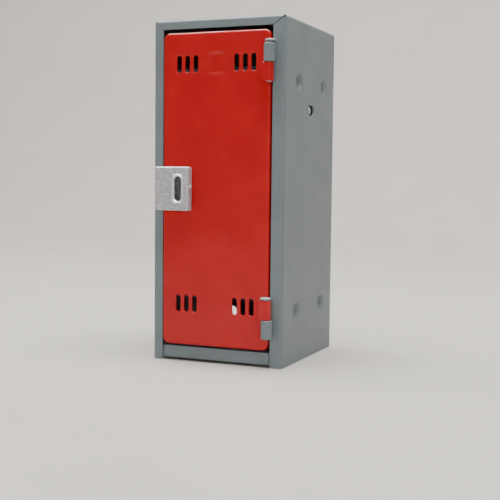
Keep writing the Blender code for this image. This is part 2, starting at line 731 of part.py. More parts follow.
def make_hanger(name, x):
    """A hanger whose hook rests on the rod, in a plane square to the rod."""
    rod = Vector((x, depth(ROD_DEPTH), ROD_Z))
    hook_inside = HOOK_RADIUS - WIRE_RADIUS
    apex = rod + Vector((0, 0, ROD_RADIUS + FIT - hook_inside - HOOK_RISE))

    def placed(points):
        return [apex + Vector((0, u, v)) for u, v in points]

    loop = wire(name + "_frame", placed(hanger_outline()), cyclic=True)
    hook = wire(name + "_hook", placed(hook_line()), cyclic=False)
    base = WIRE_RADIUS + FIT
    crown = base + COLLAR_HEIGHT
    ease = FIT * 3
    profile = [(COLLAR_BORE, crown), (COLLAR_RADIUS - ease, crown), (COLLAR_RADIUS, crown - ease),
               (COLLAR_RADIUS, base + ease), (COLLAR_RADIUS - ease, base), (COLLAR_BORE, base),
               (COLLAR_BORE, crown)]
    collar = turned(name + "_collar", profile, BLACK_WIRE)
    collar.location = apex
    hang_on(axis_empty(name + "_swing", rod), loop, hook, collar)


make_wrap()
make_back()
make_floor()
for shelf_name in DENT_HEIGHTS:
    make_shelf(shelf_name)
make_rod()
make_door()
for hanger_name, hanger_x in HANGER_X.items():
    make_hanger(hanger_name, hanger_x)
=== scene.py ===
"""The looks of a miniature school locker: painted tin, cast pull plate, pin hinges, twisted-wire hangers."""
import json
import math

import bmesh
import bpy
import numpy as np
from mathutils import Matrix, Vector, noise


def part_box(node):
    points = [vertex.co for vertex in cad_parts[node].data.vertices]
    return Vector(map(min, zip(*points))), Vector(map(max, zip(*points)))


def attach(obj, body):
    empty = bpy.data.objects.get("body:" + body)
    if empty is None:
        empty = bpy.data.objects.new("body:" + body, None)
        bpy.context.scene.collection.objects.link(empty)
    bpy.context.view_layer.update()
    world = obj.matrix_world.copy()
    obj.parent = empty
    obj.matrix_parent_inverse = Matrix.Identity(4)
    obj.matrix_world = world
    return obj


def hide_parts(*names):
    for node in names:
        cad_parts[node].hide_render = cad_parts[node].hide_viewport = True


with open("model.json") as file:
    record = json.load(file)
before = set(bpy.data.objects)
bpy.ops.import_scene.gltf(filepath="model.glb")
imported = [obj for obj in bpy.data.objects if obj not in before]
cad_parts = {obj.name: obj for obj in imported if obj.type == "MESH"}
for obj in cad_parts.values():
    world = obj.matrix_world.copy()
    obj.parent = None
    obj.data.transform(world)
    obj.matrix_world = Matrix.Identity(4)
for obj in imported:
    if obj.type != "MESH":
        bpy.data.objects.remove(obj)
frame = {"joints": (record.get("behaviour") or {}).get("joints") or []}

MM = 0.001
QUARTER = math.pi / 2
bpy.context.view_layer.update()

# Places read from the frame
WRAP_LOW, WRAP_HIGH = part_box("cabinet_wrap")
DOOR_LOW, DOOR_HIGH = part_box("door_panel")
WIDTH = WRAP_HIGH.x - WRAP_LOW.x
HEIGHT = WRAP_HIGH.z
FRONT = WRAP_LOW.y
BACK = WRAP_HIGH.y
HINGE = next(Vector(joint["pos_m"]) for joint in frame["joints"] if joint["name"] == "door_swing")

# Sheet metal
SHEET = 0.4 * MM
BEND = 0.7 * MM
RIM_BEVEL = 0.07 * MM
BEND_STEPS = 6
MERGE = 3e-7

# Cabinet front
FLANGE_LEFT = 2.3 * MM
FLANGE_RIGHT = 2.85 * MM
FLANGE_TOP = 2.1 * MM
SEAM = 0.13 * MM
RELIEF_RADIUS = 0.26 * MM
RELIEF_INSET = 0.42 * MM
RELIEF_LIP = 0.05 * MM

# Kick bar
KICK_LEFT_GAP = 0.5 * MM
KICK_RIGHT_GAP = 0.17 * MM
KICK_TOP_GAP = 0.04 * MM
KICK_BOTTOM = 0.72 * MM
KICK_THICKNESS = 0.65 * MM
KICK_CORNER = 0.7 * MM
KICK_EDGE = 0.12 * MM
TRAY_SETBACK = 0.5 * MM

# Pressed dents
DENT_RADIUS = 2.15 * MM
DENT_FLOOR = 0.45
DENT_DEPTH = 0.8 * MM
DENT_Y = (FRONT + 8.6 * MM, FRONT + 24.9 * MM)
DENT_Z = (61.75 * MM, 11.55 * MM)
DENT_REACH = 2.3 * MM
DENT_STEP = 0.22 * MM

# Rod, its holes, and the holes in the back
ROD_RADIUS = 0.9 * MM
ROD_PLAY = 0.05 * MM
ROD_COLLAR = 0.5 * MM
ROD_COLLAR_EDGE = 0.1 * MM
ROD_HOLE_Y = FRONT + 16.3 * MM
ROD_HOLE_Z = 55.95 * MM
ROD_HOLE_HALF = (2.1 * MM, 1.15 * MM)
ROD_HOLE_LIP = 0.1 * MM
BACK_HOLE_X = 10.4 * MM
BACK_HOLE_Z = 7.0 * MM
BACK_HOLE_RADIUS = 1.5 * MM
BACK_HOLE_LIP = 0.08 * MM

# Lips folded in under the sides
FOOT_WIDTH = 2.6 * MM
FOOT_LIFT = 0.03 * MM

# Door
DOOR_FACE = DOOR_LOW.y
DOOR_MIDDLE = (DOOR_LOW.x + DOOR_HIGH.x) / 2
DOOR_MIDDLE_Z = (DOOR_LOW.z + DOOR_HIGH.z) / 2
DOOR_CORNER = 1.5 * MM
DOOR_EDGE = 0.55 * MM
DOOR_RIM = 1.8 * MM
SLOT_HALF = (0.55 * MM, 1.825 * MM)
SLOT_PITCH = 1.98 * MM
SLOT_LIP = 0.2 * MM
VENT_OFFSET = 6.8 * MM
VENT_Z = (65.3 * MM, 12.95 * MM)
LABEL_HALF = (2.8 * MM, 2.68 * MM)
LABEL_DEPTH = 0.36 * MM
LABEL_SLOPE = (2.2 * MM, 1.0 * MM)
LABEL_V = VENT_Z[0] - DOOR_MIDDLE_Z
LABEL_STEP = 0.17 * MM

# Handle
HANDLE_LOW, HANDLE_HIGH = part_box("handle")
HANDLE_FACE = HANDLE_LOW.y + 0.12 * MM
HANDLE_REAR = DOOR_FACE - 0.05 * MM
HANDLE_EDGE = 0.42 * MM
GRIP = Vector((HANDLE_LOW.x + 5.7 * MM, HANDLE_FACE, (HANDLE_LOW.z + HANDLE_HIGH.z) / 2))
GRIP_HALF = (0.87 * MM, 2.72 * MM)
GRIP_LIP = 0.12 * MM
GRIP_DEPTH = 1.5 * MM
RIM_HALF = (1.25 * MM, 3.1 * MM)
RIM_RISE = 0.2 * MM
PEG_RADIUS = 0.6 * MM
PEG_HOLE_RADIUS = 0.68 * MM

# Hinges
KNUCKLE_RADIUS = 1.25 * MM
PIN_RADIUS = 0.6 * MM
PIN_SHIFT = {"lower": -0.3 * MM, "upper": 0.15 * MM}
BORE_RADIUS = 0.65 * MM
NECK_BACK = 0.75 * MM
NECK_INSET = 0.05 * MM

# Hangers
WIRE_RADIUS = 0.325 * MM
ARM_SLOPE = math.radians(25)
TWIST_PITCH = 2.8 * MM
HOOK_RADIUS = 1.875 * MM
COIL_WIRE_RADIUS = 0.235 * MM
COIL_TURNS = 2.4

# Camera: its place is counted from the cabinet's front plane
CAMERA_PLACE = (90.5 * MM, FRONT - 196.8 * MM, 41.15 * MM)
CAMERA_YAW = math.radians(22.77)
CAMERA_PITCH = math.radians(4.24)
CAMERA_ROLL = math.radians(0.60)
CAMERA_LENS = 71.75


# ---- mesh helpers --------------------------------------------------------------------------

def lines(start, end, step, fine=()):
    """Grid lines from start to end, closer together inside each (low, high, step) band."""
    marks = {start, end}
    for low, high, _ in fine:
        marks |= {min(max(low, start), end), min(max(high, start), end)}
    marks = sorted(marks)
    found = []
    for a, b in zip(marks, marks[1:]):
        middle = (a + b) / 2
        near = min([step] + [s for low, high, s in fine if low <= middle <= high])
        count = max(1, math.ceil((b - a) / near - 1e-6))
        found += [a + (b - a) * i / count for i in range(count)]
    return found + [end]


def smoothstep(t):
    t = min(max(t, 0.0), 1.0)
    return t * t * (3 - 2 * t)


def arc(centre, radius, start, end, steps):
    angles = [start + (end - start) * i / steps for i in range(steps + 1)]
    return [(centre[0] + radius * math.cos(a), centre[1] + radius * math.sin(a)) for a in angles]


def link(name, bm):
    bmesh.ops.remove_doubles(bm, verts=bm.verts, dist=MERGE)
    mesh = bpy.data.meshes.new(name)
    bm.to_mesh(mesh)
    bm.free()
    obj = bpy.data.objects.new(name, mesh)
    bpy.context.scene.collection.objects.link(obj)
    return obj


def closed(name, bm):
    """An object from a closed bmesh, with its faces pointing out."""
    bmesh.ops.remove_doubles(bm, verts=bm.verts, dist=MERGE)
    bmesh.ops.recalc_face_normals(bm, faces=bm.faces)
    return link(name, bm)


def thicken(obj, thickness=SHEET, bevel=RIM_BEVEL):
    """Gives an open sheet its thickness, inwards, and softens its cut edges."""
    solid = obj.modifiers.new("sheet", "SOLIDIFY")
    solid.thickness = thickness
    solid.offset = -1
    solid.use_even_offset = True
    soften(obj, bevel)


def soften(obj, width, angle=50, segments=2):
    bevel = obj.modifiers.new("soft_edges", "BEVEL")
    bevel.width = width
    bevel.segments = segments
    bevel.limit_method = "ANGLE"
    bevel.angle_limit = math.radians(angle)
    bevel.use_clamp_overlap = True


def combine(obj, tool, operation):
    """Cuts a closed tool out of obj, or joins it on, and removes the tool."""
    modifier = obj.modifiers.new(tool.name, "BOOLEAN")
    modifier.operation = operation
    modifier.object = tool
    settle(obj)
    bpy.data.objects.remove(tool)


def settle(obj):
    """Replaces obj's mesh by what its modifiers make of it."""
    graph = bpy.context.evaluated_depsgraph_get()
    graph.update()
    mesh = bpy.data.meshes.new_from_object(obj.evaluated_get(graph))
    old = obj.data
    obj.modifiers.clear()
    obj.data = mesh
    bpy.data.meshes.remove(old)


def finish_piece(obj, body, material, replaces=(), sharp=38):
    """Shades a piece, paints it and puts it on its body."""
    settle(obj)
    mesh = obj.data
    mesh.shade_smooth()
    mesh.set_sharp_from_angle(angle=math.radians(sharp))
    weighted = obj.modifiers.new("even_normals", "WEIGHTED_NORMAL")
    weighted.keep_sharp = True
    mesh.materials.clear()
    mesh.materials.append(material)
    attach(obj, body)
    if replaces:
        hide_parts(*replaces)
    return obj


def add_box(bm, low, high):
    low, high = Vector(low), Vector(high)
    place = Matrix.Translation((low + high) / 2) @ Matrix.Diagonal((*(high - low), 1))
    bmesh.ops.create_cube(bm, size=1, matrix=place)


def add_rings(bm, rings, cap=True, loop=False):
    """Faces from each ring of points to the next, with a cap at each end or joined in a loop."""
    verts = [[bm.verts.new(p) for p in ring] for ring in rings]
    pairs = zip(verts, verts[1:] + verts[:1]) if loop else zip(verts, verts[1:])
    for first, second in pairs:
        for i in range(len(first)):
            j = (i + 1) % len(first)
            bm.faces.new((first[i], first[j], second[j], second[i]))
    if cap and not loop:
        bm.faces.new(verts[0])
        bm.faces.new(verts[-1])


def turned_rings(profile, matrix, steps):
    """A ring of points about matrix's Z for each (radius, height) of a profile."""
    angles = [2 * math.pi * i / steps for i in range(steps)]
    return [[matrix @ Vector((r * math.cos(a), r * math.sin(a), z)) for a in angles] for r, z in profile]


def lathe(bm, profile, matrix, steps=48, loop=False):
    """Turns a profile about matrix's Z. A looped profile makes a ring."""
    add_rings(bm, turned_rings(profile, matrix, steps), loop=loop)


def round_corners(centres, radius, steps):
    """A quarter circle round each of four centres, in turn from the upper right one."""
    points = []
    for i, centre in enumerate(centres):
        points += arc(centre, radius, QUARTER * i, QUARTER * (i + 1), steps)
    return points


def stadium(half_u, half_v, grow=0.0, steps=10):
    """A round-ended outline, longer along v, or along u, or a circle."""
    radius = min(half_u, half_v)
    u, v = half_u - radius, half_v - radius
    return round_corners(((u, v), (-u, v), (-u, -v), (u, -v)), radius + grow, steps)


def rounded_outline(left, right, bottom, top, radius, steps=6):
    """A rectangle with round corners."""
    near, far = left + radius, right - radius
    low, high = bottom + radius, top - radius
    return round_corners(((far, high), (near, high), (near, low), (far, low)), radius, steps)


def add_punch(bm, matrix, half, lip, start=SHEET, end=-2 * SHEET):
    """A punch along -Z from z = start above a face to z = end below it, flared at the face."""
    rings = [(start, lip)]
    for i in range(5):
        sink = lip * i / 4
        rings.append((-sink, lip - math.sqrt(max(lip * lip - (lip - sink) ** 2, 0))))
    rings.append((end, 0))
    outlines = []
    for z, grow in rings:
        outline = [matrix @ Vector((u, v, z)) for u, v in stadium(*half, grow)]
        outlines.append([p for i, p in enumerate(outline) if (p - outline[i - 1]).length > MERGE])
    add_rings(bm, outlines)


def facing(direction, place):
    """A matrix that turns +Z to direction, keeps the world's up as +Y where it can, and moves to place."""
    z = Vector(direction).normalized()
    up = Vector((0, 0, 1)) if abs(z.z) < 0.9 else Vector((0, 1, 0))
    x = up.cross(z).normalized()
    y = z.cross(x)
    turn = Matrix((x, y, z)).transposed().to_4x4()
    return Matrix.Translation(place) @ turn


def pan(name, us, vs, corner, edge, rim, matrix, relief=None):
    """A stamped sheet in local X and Y, face up: rounded corners, a rounded edge and a rim that goes down.

    us and vs are grid lines centred on zero. relief gives how far the face is pushed down at (u, v).
    """
    half_u, half_v = us[-1], vs[-1]
    bm = bmesh.new()

    def place(u, v):
        inset_u, inset_v = half_u - abs(u), half_v - abs(v)
        sign_u, sign_v = math.copysign(1, u), math.copysign(1, v)
        in_corner = inset_u < corner and inset_v < corner
        if in_corner:
            a, b = 1 - inset_u / corner, 1 - inset_v / corner
            reach = max(a, b)
            angle = QUARTER / 2 * (b / a if a >= b else 2 - a / b) if reach > 0 else 0
            inset = corner * (1 - reach)
        else:
            inset = min(inset_u, inset_v)
        turn = min(inset / edge, 1) * QUARTER
        moved = edge * (1 - math.cos(turn)) if inset < edge else inset
        depth = edge * (1 - math.sin(turn))
        if in_corner:
            radius = corner - moved
            u = sign_u * (half_u - corner + radius * math.cos(angle))
            v = sign_v * (half_v - corner + radius * math.sin(angle))
        elif inset_u < inset_v:
            u = sign_u * (half_u - moved)
        else:
            v = sign_v * (half_v - moved)
        return Vector((u, v, -depth - (relief(u, v) if relief else 0)))

    grid = [[bm.verts.new(matrix @ place(u, v)) for v in vs] for u in us]
    for i in range(len(us) - 1):
        for j in range(len(vs) - 1):
            bm.faces.new((grid[i][j], grid[i + 1][j], grid[i + 1][j + 1], grid[i][j + 1]))
    last = len(us) - 1
    top = len(vs) - 1
    loop = [grid[i][0] for i in range(last)] + [grid[last][j] for j in range(top)]
    loop += [grid[i][top] for i in range(last, 0, -1)] + [grid[0][j] for j in range(top, 0, -1)]
    down = (matrix.to_3x3() @ Vector((0, 0, -1))).normalized()
    lower = [bm.verts.new(v.co + down * (rim - edge)) for v in loop]
    for i in range(len(loop)):
        j = (i + 1) % len(loop)
        bm.faces.new((loop[j], loop[i], lower[i], lower[j]))
    return link(name, bm)


def pan_lines(half, corner, step, fine=()):
    """Grid lines for one direction of a pan, close together over its rounded corners."""
    bands = [(-half, corner - half, 0.13 * MM), (half - corner, half, 0.13 * MM)] + list(fine)
    return lines(-half, half, step, bands)


def tube(bm, points, radius, across, sides=10, loop=False, tip=False):
    """A round tube along points. across is a direction that the path never runs along."""
    points = [Vector(p) for p in points]
    across = Vector(across)
    count = len(points)
    turns = [2 * math.pi * k / sides for k in range(sides)]
    rings = []
    for i, p in enumerate(points):
        before = points[i - 1] if i or loop else p
        after = points[(i + 1) % count] if i < count - 1 or loop else p
        along = (after - before).normalized()
        side = along.cross(across).normalized()
        other = along.cross(side)
        rings.append([p + radius * (math.cos(a) * side + math.sin(a) * other) for a in turns])
    if tip:
        rings = round_end(points[0], points[0] - points[1], rings[0]) + rings
        rings = rings + round_end(points[-1], points[-1] - points[-2], rings[-1])[::-1]
    add_rings(bm, rings, loop=loop)


def round_end(centre, outward, ring, steps=4):
    """Rings that close a tube's end with a half ball, outermost first."""
    outward = outward.normalized()
    radius = (ring[0] - centre).length
    found = []
    for i in range(steps, 0, -1):
        angle = QUARTER * i / (steps + 0.25)
        shift = centre + outward * radius * math.sin(angle)
        found.append([shift + (p - centre) * math.cos(angle) for p in ring])
    return found


# ---- materials -----------------------------------------------------------------------------

class Nodes:
    """A small helper that adds and links the nodes of one material."""

    def __init__(self, name):
        self.material = bpy.data.materials.new(name)
        self.material.use_nodes = True
        self.tree = self.material.node_tree
        self.shader = self.tree.nodes["Principled BSDF"]
        self.coords = self.tree.nodes.new("ShaderNodeTexCoord").outputs["Object"]

    def link(self, output, socket):
        self.tree.links.new(output, socket)

    def noise(self, size, detail=3.0, roughness=0.5, stretch=(1, 1, 1)):
        """Noise whose blotches are about size metres across."""
        mapping = self.tree.nodes.new("ShaderNodeMapping")
        mapping.inputs["Scale"].default_value = [s / size for s in stretch]
        self.link(self.coords, mapping.inputs["Vector"])
        node = self.tree.nodes.new("ShaderNodeTexNoise")
        node.inputs["Scale"].default_value = 1.0
        node.inputs["Detail"].default_value = detail
        node.inputs["Roughness"].default_value = roughness
        self.link(mapping.outputs["Vector"], node.inputs["Vector"])
        return node.outputs["Fac"]

    def span(self, value, low, high, to_low=0.0, to_high=1.0):
        node = self.tree.nodes.new("ShaderNodeMapRange")
        node.inputs["From Min"].default_value = low
        node.inputs["From Max"].default_value = high
        node.inputs["To Min"].default_value = to_low
        node.inputs["To Max"].default_value = to_high
        self.link(value, node.inputs["Value"])
        return node.outputs["Result"]

    def axes(self):
        """The place on the object, as separate X, Y and Z."""
        node = self.tree.nodes.new("ShaderNodeSeparateXYZ")
        self.link(self.coords, node.inputs["Vector"])
        return node.outputs

    def math(self, operation, a, b):
        node = self.tree.nodes.new("ShaderNodeMath")
        node.operation = operation
        for value, socket in ((a, node.inputs[0]), (b, node.inputs[1])):
            if isinstance(value, (int, float)):
                socket.default_value = value
            else:
                self.link(value, socket)
        return node.outputs[0]

    def mix(self, factor, a, b):
        node = self.tree.nodes.new("ShaderNodeMix")
        node.data_type = "RGBA"
        for value, socket in ((factor, node.inputs["Factor"]), (a, node.inputs["A"]), (b, node.inputs["B"])):
            if isinstance(value, tuple):
                socket.default_value = value
            elif isinstance(value, (int, float)):
                socket.default_value = value
            else:
                self.link(value, socket)
        return node.outputs["Result"]

    def edges(self, radius, sharpest=0.35):
        """Rises from 0 on flats and gentle curves to 1 on edges, over about the given radius."""
        rounded = self.tree.nodes.new("ShaderNodeBevel")
        rounded.samples = 6
        rounded.inputs["Radius"].default_value = radius
        geometry = self.tree.nodes.new("ShaderNodeNewGeometry")
        dot = self.tree.nodes.new("ShaderNodeVectorMath")
        dot.operation = "DOT_PRODUCT"
        self.link(rounded.outputs["Normal"], dot.inputs[0])
        self.link(geometry.outputs["Normal"], dot.inputs[1])
        return self.span(dot.outputs["Value"], 0.995, 1 - sharpest)

    def bump(self, height, distance, strength=1.0, normal=None):
        node = self.tree.nodes.new("ShaderNodeBump")
        node.inputs["Distance"].default_value = distance
        node.inputs["Strength"].default_value = strength
        self.link(height, node.inputs["Height"])
        if normal is not None:
            self.link(normal, node.inputs["Normal"])
        return node.outputs["Normal"]


def enamel(name, main, shade, edge_wear_and_highlight_colour, roughness, gloss, peel):
    """Sprayed enamel on tin: slight mottling, orange peel, a wavy sheet, and lighter edges that are partly
    wear and partly a painted highlight.

    roughness keeps to one side of 0.274, where the denoiser starts to treat gloss as part of the colour.
    """
    n = Nodes(name)
    blotches = n.noise(6 * MM, 4)
    colour = n.mix(n.span(blotches, 0.35, 0.65), shade, main)
    # Edges painted lighter in noisy patches: partly wear, partly a painted highlight where edges catch the
    # light.
    edge_wear_and_highlight_mask = n.math("MULTIPLY", n.edges(0.12 * MM), n.span(n.noise(0.9 * MM, 5), 0.40, 0.6, 0.25, 0.9))
    colour = n.mix(edge_wear_and_highlight_mask, colour, edge_wear_and_highlight_colour)
    n.link(colour, n.shader.inputs["Base Color"])
    n.link(n.span(n.noise(3 * MM, 1), 0.2, 0.8, roughness[0], roughness[1]), n.shader.inputs["Roughness"])
    n.shader.inputs["Specular IOR Level"].default_value = gloss
    sheet = n.bump(n.noise(9 * MM, 1), 0.10 * MM, 0.6)
    n.link(n.bump(n.noise(0.38 * MM, 2), peel, 0.7, sheet), n.shader.inputs["Normal"])
    return n.material


def cast_metal():
    """Rough as-cast metal, with a painted highlight on its edges and on the rim round its blind grip slot,
    and painted shade inside the slot.
    """
    n = Nodes("cast_metal")
    grain = n.noise(0.42 * MM, 6, 0.6)
    colour = n.mix(n.span(grain, 0.32, 0.68), (0.27, 0.27, 0.28, 1), (0.56, 0.55, 0.57, 1))
    # Painted highlight: the plate's edges are mixed towards white.
    colour = n.mix(n.edges(0.34 * MM, 0.12), colour, (1.0, 1.0, 1.0, 1))
    place = n.axes()
    # Masks by position: painted shade inside the blind grip slot, and a painted highlight on the rim round
    # it.
    inside = n.span(place[1], GRIP.y + 0.15 * MM, GRIP.y + 0.55 * MM)
    rim = n.span(grain, 0.3, 0.6, 0.45, 0.9)
    for axis, reach, lip in ((0, GRIP_HALF[0], 0.12 * MM), (2, GRIP_HALF[1], 0.3 * MM)):
        away = n.math("ABSOLUTE", n.math("SUBTRACT", place[axis], GRIP[axis]), 0.0)
        inside = n.math("MULTIPLY", inside, n.span(away, reach + 0.15 * MM, reach))
        rim = n.math("MULTIPLY", rim, n.span(away, reach + 1.9 * lip, reach + lip))
    # The rim's painted highlight, then the slot's painted shade in dark grey.
    colour = n.mix(rim, colour, (1.0, 1.0, 1.0, 1))
    n.link(n.mix(inside, colour, (0.125, 0.128, 0.128, 1)), n.shader.inputs["Base Color"])
    n.shader.inputs["Metallic"].default_value = 0.3
    n.link(n.span(n.noise(0.8 * MM, 4), 0.3, 0.7, 0.38, 0.6), n.shader.inputs["Roughness"])
    n.link(n.bump(n.noise(0.3 * MM, 5, 0.6), 0.05 * MM, 0.8), n.shader.inputs["Normal"])
    return n.material


def plain_steel():
    """Dull plated steel with fine turning marks."""
    n = Nodes("plain_steel")
    marks = n.noise(0.5 * MM, 4, 0.6, (1, 1, 6))
    colour = n.mix(n.span(marks, 0.3, 0.7), (0.20, 0.22, 0.215, 1), (0.34, 0.36, 0.355, 1))
    n.link(colour, n.shader.inputs["Base Color"])
    n.shader.inputs["Metallic"].default_value = 0.3
    n.link(n.span(marks, 0.3, 0.7, 0.52, 0.68), n.shader.inputs["Roughness"])
    n.link(n.bump(n.noise(0.15 * MM, 3), 0.01 * MM, 0.5), n.shader.inputs["Normal"])
    return n.material


def black_wire():
    """Glossy black-plated wire with lighter specks: partly scuffs, partly painted glints."""
    n = Nodes("black_wire")
    # Lighter specks in noise: partly scuffs, partly painted glints along the twisted wire.
    scuffs_and_glints = n.span(n.noise(0.45 * MM, 4), 0.52, 0.64, 0, 0.8)
    n.link(n.mix(scuffs_and_glints, (0.045, 0.043, 0.042, 1), (0.36, 0.34, 0.33, 1)), n.shader.inputs["Base Color"])
    n.shader.inputs["Metallic"].default_value = 0.75
    n.link(n.span(n.noise(0.6 * MM, 3), 0.3, 0.7, 0.28, 0.4), n.shader.inputs["Roughness"])
    n.link(n.bump(n.noise(0.12 * MM, 2), 0.008 * MM, 0.5), n.shader.inputs["Normal"])
    return n.material


GREY = enamel("grey_enamel", main=(0.150, 0.178, 0.185, 1), shade=(0.135, 0.160, 0.167, 1),
              edge_wear_and_highlight_colour=(0.33, 0.36, 0.36, 1), roughness=(0.40, 0.50), gloss=0.25, peel=0.018 * MM)
RED = enamel("red_enamel", main=(0.42, 0.011, 0.013, 1), shade=(0.38, 0.009, 0.011, 1),
             edge_wear_and_highlight_colour=(0.62, 0.055, 0.045, 1), roughness=(0.21, 0.265), gloss=0.25, peel=0.004 * MM)
CAST = cast_metal()
STEEL = plain_steel()
WIRE = black_wire()


# ---- cabinet -------------------------------------------------------------------------------

def dent(y, z):
    """How far the side is pressed in at a place."""
    sunk = 0.0
    for centre_y in DENT_Y:
        for centre_z in DENT_Z:
            share = math.hypot(y - centre_y, z - centre_z) / DENT_RADIUS
            if share < 1:
                sunk += DENT_DEPTH * smoothstep((1 - share) / (1 - DENT_FLOOR))
    return sunk


def wrap_rows():
    """Lines along the folded sheet, from the flange's free edge round the bend to the back.

    Each is the left, top and right insets, and y.
    """
    rows = []
    for share in (1, 0.66, 0.33):
        insets = [BEND + (flange - BEND) * share for flange in (FLANGE_LEFT, FLANGE_TOP, FLANGE_RIGHT)]
        rows.append((*insets, FRONT))
    for inset, back in arc((BEND, BEND), BEND, -QUARTER, -math.pi, BEND_STEPS):
        rows.append((inset, inset, inset, FRONT + back))
    bands = [(y - DENT_REACH, y + DENT_REACH, DENT_STEP) for y in DENT_Y]
    for y in lines(FRONT + BEND, BACK, 2.5 * MM, bands)[1:]:
        rows.append((0, 0, 0, y))
    return rows


def wrap_stations():
    """Places along the path up the left side, over the top and down the right side."""
    bands = [(z - DENT_REACH, z + DENT_REACH, DENT_STEP) for z in DENT_Z]
    heights = lines(0, HEIGHT - BEND, 3 * MM, bands)
    turns = [i / BEND_STEPS for i in range(1, BEND_STEPS)]
    widths = lines(BEND - WIDTH / 2, WIDTH / 2 - BEND, 3 * MM)
    path = [("left", z) for z in heights] + [("left_turn", t) for t in turns]
    path += [("top", x) for x in widths] + [("right_turn", t) for t in reversed(turns)]
    return path + [("right", z) for z in reversed(heights)]


def wrap_point(row, station):
    """The outer face's point where a row crosses a station."""
    left, top, right, y = row
    kind, value = station
    radius = max(BEND - top, 0)
    roof = HEIGHT - top
    wall_left, wall_right = left - WIDTH / 2, WIDTH / 2 - right
    if kind in ("left", "right"):
        z = min(value, roof - radius)
        sunk = dent(y, z) if top == 0 else 0
        return (wall_left + sunk if kind == "left" else wall_right - sunk, y, z)
    if kind == "top":
        return (min(max(value, wall_left + radius), wall_right - radius), y, roof)
    turn = value * QUARTER
    side = math.cos(turn) * radius
    lift = math.sin(turn) * radius
    x = wall_left + radius - side if kind == "left_turn" else wall_right - radius + side
    return (x, y, roof - radius + lift)


def seam_blades():
    """Thin blades that open the mitres in the front flange."""
    bm = bmesh.new()
    for wall, edge in ((-WIDTH / 2, FLANGE_LEFT - WIDTH / 2), (WIDTH / 2, WIDTH / 2 - FLANGE_RIGHT)):
        side = math.copysign(1, wall)
        outer = Vector((wall - side * RELIEF_INSET, 0, HEIGHT - RELIEF_INSET))
        inner = Vector((edge, 0, HEIGHT - FLANGE_TOP))
        along = (outer - inner).normalized()
        across = Vector((along.z, 0, -along.x)) * SEAM / 2
        inner = inner - along * SHEET
        rings = []
        for back, grow in ((-SHEET, 2.2), (0, 2.2), (0.08 * MM, 1), (1.5 * SHEET, 1)):
            half = across * grow
            outline = [inner - half, outer - half, outer + half, inner + half]
            rings.append([p + Vector((0, FRONT + back, 0)) for p in outline])
        add_rings(bm, rings)
    return closed("seam_blades", bm)


def relief_drills():
    """A small drill where each mitre meets the folds."""
    bm = bmesh.new()
    for side in (-1, 1):
        centre = (side * (WIDTH / 2 - RELIEF_INSET), FRONT, HEIGHT - RELIEF_INSET)
        add_punch(bm, facing((0, -1, 0), centre), (RELIEF_RADIUS, RELIEF_RADIUS), RELIEF_LIP)
    return closed("relief_drills", bm)


def rod_holes():
    """A wide hole for the rod's end in each side."""
    bm = bmesh.new()
    for side in (-1, 1):
        place = facing((side, 0, 0), (side * WIDTH / 2, ROD_HOLE_Y, ROD_HOLE_Z))
        add_punch(bm, place, ROD_HOLE_HALF, ROD_HOLE_LIP)
    return closed("rod_holes", bm)


def foot_lips():
    """A lip under each side, folded in."""
    bm = bmesh.new()
    for side in (-1, 1):
        x = sorted((side * (WIDTH / 2 - SHEET / 2), side * (WIDTH / 2 - FOOT_WIDTH)))
        add_box(bm, (x[0], FRONT + SHEET * 1.5, FOOT_LIFT), (x[1], BACK - SHEET / 2, SHEET))
    return closed("foot_lips", bm)


def build_wrap():
    """The folded sheet: flanges, left side, top and right side."""
    bm = bmesh.new()
    rows, stations = wrap_rows(), wrap_stations()
    grid = [[bm.verts.new(wrap_point(row, station)) for station in stations] for row in rows]
    for first, second in zip(grid, grid[1:]):
        for i in range(len(first) - 1):
            bm.faces.new((first[i], first[i + 1], second[i + 1], second[i]))
    bmesh.ops.remove_doubles(bm, verts=bm.verts, dist=MERGE)
    wrap = link("cabinet_shell", bm)
    thicken(wrap)
    settle(wrap)
    combine(wrap, seam_blades(), "DIFFERENCE")
    combine(wrap, relief_drills(), "DIFFERENCE")
    combine(wrap, rod_holes(), "DIFFERENCE")
    combine(wrap, foot_lips(), "UNION")
    finish_piece(wrap, "cabinet", GREY, ["cabinet_wrap"])


def build_back():
    """The back panel, with two round holes near its foot."""
    low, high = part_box("back_panel")
    half_u, half_v = (high.x - low.x) / 2, (high.z - low.z) / 2
    place = facing((0, 1, 0), (0, high.y, (low.z + high.z) / 2))
    us, vs = pan_lines(half_u, BEND, 3 * MM), pan_lines(half_v, BEND, 4 * MM)
    back = pan("back_sheet", us, vs, BEND, BEND, high.y - low.y, place)
    thicken(back)
    settle(back)
    holes = bmesh.new()
    for side in (-1, 1):
        centre = (side * BACK_HOLE_X, high.y, BACK_HOLE_Z)
        add_punch(holes, facing((0, 1, 0), centre), (BACK_HOLE_RADIUS, BACK_HOLE_RADIUS), BACK_HOLE_LIP)
    combine(back, closed("back_holes", holes), "DIFFERENCE")
    finish_piece(back, "cabinet", GREY, ["back_panel"])


def build_tray(name, low, high):
    """A sheet tray with its rim down, which fills the space from low to high."""
    half_u, half_v = (high.x - low.x) / 2, (high.y - low.y) / 2
    place = facing((0, 0, 1), ((low.x + high.x) / 2, (low.y + high.y) / 2, high.z))
    us, vs = pan_lines(half_u, BEND, 3 * MM), pan_lines(half_v, BEND, 3 * MM)
    tray = pan(name, us, vs, BEND, BEND, high.z - low.z, place)
    thicken(tray)
    settle(tray)
    return tray


def build_shelf(name, node):
    finish_piece(build_tray(name, *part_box(node)), "cabinet", GREY, [node])


